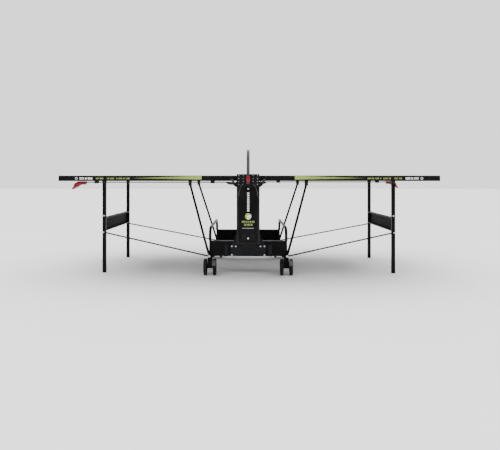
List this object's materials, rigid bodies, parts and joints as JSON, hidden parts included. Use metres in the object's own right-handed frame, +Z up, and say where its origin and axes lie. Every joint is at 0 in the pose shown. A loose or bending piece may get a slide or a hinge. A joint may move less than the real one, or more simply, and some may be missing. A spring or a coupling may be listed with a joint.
{
  "type": "ping pong table",
  "caption": "Folding ping pong table on a wheeled centre chassis, with hinged end legs, struts, release rods, castors and a net on arched posts.",
  "frame": {"origin": "on the floor under the middle of the table", "axes": "+X along the table's length, +Y across it, +Z up"},
  "size_m": [2.784, 1.896, 0.942],
  "materials": {
    "black_metal": "satin",
    "dark_metal": "satin",
    "board_green": "matte",
    "black_plastic": "matte",
    "zinc_steel": "satin",
    "bolt_steel": "gloss",
    "red_plastic": "gloss",
    "net_cloth": "matte",
    "wheel_rubber": "matte",
    "brake_plastic": "matte"
  },
  "bodies": {
    "chassis": {"near_beam": "black_metal", "far_beam": "black_metal", "left_bow": "dark_metal", "right_bow": "dark_metal", "near_outrigger": "dark_metal", "far_outrigger": "dark_metal", "near_column": "black_metal", "far_column": "black_metal", "near_head_box": "black_plastic", "far_head_box": "black_plastic", "near_net_post": "dark_metal", "far_net_post": "dark_metal", "net": "net_cloth", "chassis_bolts": "bolt_steel", "striker_pins": "zinc_steel"},
    "near_net_knob": {"near_net_knob": "red_plastic"},
    "far_net_knob": {"far_net_knob": "red_plastic"},
    "left_support": {"left_support_pair": "black_metal"},
    "left_top": {"left_board": "board_green", "left_side_rails": "black_metal", "left_cross_rails": "black_metal", "left_top_brackets": "dark_metal"},
    "left_legs": {"left_leg_tubes": "black_metal", "left_leg_panel": "dark_metal", "left_leg_feet": "black_plastic", "left_leg_bolts": "bolt_steel"},
    "left_struts": {"left_strut_pair": "black_metal"},
    "left_release": {"left_release_rod": "zinc_steel", "left_release_link": "zinc_steel", "left_release_handle": "red_plastic"},
    "left_latch": {"left_latch_shaft": "zinc_steel", "left_latch_arms": "zinc_steel"},
    "right_support": {"right_support_pair": "black_metal"},
    "right_top": {"right_board": "board_green", "right_side_rails": "black_metal", "right_cross_rails": "black_metal", "right_top_brackets": "dark_metal"},
    "right_legs": {"right_leg_tubes": "black_metal", "right_leg_panel": "dark_metal", "right_leg_feet": "black_plastic", "right_leg_bolts": "bolt_steel"},
    "right_struts": {"right_strut_pair": "black_metal"},
    "right_release": {"right_release_rod": "zinc_steel", "right_release_link": "zinc_steel", "right_release_handle": "red_plastic"},
    "right_latch": {"right_latch_shaft": "zinc_steel", "right_latch_arms": "zinc_steel"},
    "near_left_castor_fork": {"near_left_castor_fork": "black_plastic"},
    "near_left_castor_wheels": {"near_left_castor_wheels": "wheel_rubber"},
    "near_left_castor_brake": {"near_left_castor_brake": "brake_plastic"},
    "near_right_castor_fork": {"near_right_castor_fork": "black_plastic"},
    "near_right_castor_wheels": {"near_right_castor_wheels": "wheel_rubber"},
    "near_right_castor_brake": {"near_right_castor_brake": "brake_plastic"},
    "far_left_castor_fork": {"far_left_castor_fork": "black_plastic"},
    "far_left_castor_wheels": {"far_left_castor_wheels": "wheel_rubber"},
    "far_left_castor_brake": {"far_left_castor_brake": "brake_plastic"},
    "far_right_castor_fork": {"far_right_castor_fork": "black_plastic"},
    "far_right_castor_wheels": {"far_right_castor_wheels": "wheel_rubber"},
    "far_right_castor_brake": {"far_right_castor_brake": "brake_plastic"}
  },
  "joints": [
    {"name": "left_support_swing", "type": "hinge", "parent": "chassis", "child": "left_support", "pos_m": [-0.297, 0, 0.147], "axis": [0, 1, 0], "range_deg": [0, 16.57]},
    {"name": "left_fold", "type": "hinge", "parent": "left_support", "child": "left_top", "pos_m": [-0.46, 0, 0.695], "axis": [0, 1, 0], "range_deg": [0, 73.44]},
    {"name": "left_leg_fold", "type": "hinge", "parent": "left_top", "child": "left_legs", "pos_m": [-1.132, 0, 0.712], "axis": [0, -1, 0], "range_deg": [0, 83.98]},
    {"name": "left_strut_swing", "type": "hinge", "parent": "chassis", "child": "left_struts", "pos_m": [-0.297, 0, 0.147], "axis": [0, 1, 0], "range_deg": [0, 76.8]},
    {"name": "left_release_pull", "type": "slide", "parent": "left_top", "child": "left_release", "axis": [-1, 0, 0], "range_m": [0, 0.012], "stiffness_N_per_m": 400, "springref_m": -0.01},
    {"name": "left_latch_turn", "type": "hinge", "parent": "left_top", "child": "left_latch", "pos_m": [-0.118, 0, 0.732], "axis": [0, 1, 0], "range_deg": [0, 22.2]},
    {"name": "right_support_swing", "type": "hinge", "parent": "chassis", "child": "right_support", "pos_m": [0.297, 0, 0.147], "axis": [0, -1, 0], "range_deg": [0, 16.57]},
    {"name": "right_fold", "type": "hinge", "parent": "right_support", "child": "right_top", "pos_m": [0.46, 0, 0.695], "axis": [0, -1, 0], "range_deg": [0, 73.44]},
    {"name": "right_leg_fold", "type": "hinge", "parent": "right_top", "child": "right_legs", "pos_m": [1.132, 0, 0.712], "axis": [0, 1, 0], "range_deg": [0, 83.98]},
    {"name": "right_strut_swing", "type": "hinge", "parent": "chassis", "child": "right_struts", "pos_m": [0.297, 0, 0.147], "axis": [0, -1, 0], "range_deg": [0, 76.8]},
    {"name": "right_release_pull", "type": "slide", "parent": "right_top", "child": "right_release", "axis": [1, 0, 0], "range_m": [0, 0.012], "stiffness_N_per_m": 400, "springref_m": -0.01},
    {"name": "right_latch_turn", "type": "hinge", "parent": "right_top", "child": "right_latch", "pos_m": [0.118, 0, 0.732], "axis": [0, -1, 0], "range_deg": [0, 22.2]},
    {"name": "near_net_knob_turn", "type": "hinge", "parent": "chassis", "child": "near_net_knob", "pos_m": [0, -0.94, 0.733], "axis": [0, -1, 0], "continuous": true},
    {"name": "near_left_castor_swivel", "type": "hinge", "parent": "chassis", "child": "near_left_castor_fork", "pos_m": [-0.292, -0.474, 0.13], "axis": [0, 0, 1], "continuous": true},
    {"name": "near_left_castor_roll", "type": "hinge", "parent": "near_left_castor_fork", "child": "near_left_castor_wheels", "pos_m": [-0.292, -0.512, 0.0625], "axis": [1, 0, 0], "continuous": true},
    {"name": "near_left_castor_brake_press", "type": "hinge", "parent": "near_left_castor_fork", "child": "near_left_castor_brake", "pos_m": [-0.292, -0.512, 0.0625], "axis": [1, 0, 0], "range_deg": [0, 14]},
    {"name": "near_right_castor_swivel", "type": "hinge", "parent": "chassis", "child": "near_right_castor_fork", "pos_m": [0.292, -0.474, 0.13], "axis": [0, 0, 1], "continuous": true},
    {"name": "near_right_castor_roll", "type": "hinge", "parent": "near_right_castor_fork", "child": "near_right_castor_wheels", "pos_m": [0.292, -0.512, 0.0625], "axis": [1, 0, 0], "continuous": true},
    {"name": "near_right_castor_brake_press", "type": "hinge", "parent": "near_right_castor_fork", "child": "near_right_castor_brake", "pos_m": [0.292, -0.512, 0.0625], "axis": [1, 0, 0], "range_deg": [0, 14]},
    {"name": "far_net_knob_turn", "type": "hinge", "parent": "chassis", "child": "far_net_knob", "pos_m": [0, 0.94, 0.733], "axis": [0, 1, 0], "continuous": true},
    {"name": "far_left_castor_swivel", "type": "hinge", "parent": "chassis", "child": "far_left_castor_fork", "pos_m": [-0.292, 0.474, 0.13], "axis": [0, 0, 1], "continuous": true},
    {"name": "far_left_castor_roll", "type": "hinge", "parent": "far_left_castor_fork", "child": "far_left_castor_wheels", "pos_m": [-0.292, 0.436, 0.0625], "axis": [1, 0, 0], "continuous": true},
    {"name": "far_left_castor_brake_press", "type": "hinge", "parent": "far_left_castor_fork", "child": "far_left_castor_brake", "pos_m": [-0.292, 0.436, 0.0625], "axis": [1, 0, 0], "range_deg": [0, 14]},
    {"name": "far_right_castor_swivel", "type": "hinge", "parent": "chassis", "child": "far_right_castor_fork", "pos_m": [0.292, 0.474, 0.13], "axis": [0, 0, 1], "continuous": true},
    {"name": "far_right_castor_roll", "type": "hinge", "parent": "far_right_castor_fork", "child": "far_right_castor_wheels", "pos_m": [0.292, 0.436, 0.0625], "axis": [1, 0, 0], "continuous": true},
    {"name": "far_right_castor_brake_press", "type": "hinge", "parent": "far_right_castor_fork", "child": "far_right_castor_brake", "pos_m": [0.292, 0.436, 0.0625], "axis": [1, 0, 0], "range_deg": [0, 14]}
  ],
  "couplings": [
    {"joint": "left_support_swing", "follows": "left_fold", "ratio": 0.22549},
    {"joint": "left_leg_fold", "follows": "left_fold", "ratio": 1.1434},
    {"joint": "left_strut_swing", "follows": "left_fold", "ratio": 1.0456},
    {"joint": "left_latch_turn", "follows": "left_release_pull", "rad_per_m": 31.998},
    {"joint": "right_support_swing", "follows": "right_fold", "ratio": 0.22549},
    {"joint": "right_leg_fold", "follows": "right_fold", "ratio": 1.1434},
    {"joint": "right_strut_swing", "follows": "right_fold", "ratio": 1.0456},
    {"joint": "right_latch_turn", "follows": "right_release_pull", "rad_per_m": 31.998}
  ]
}
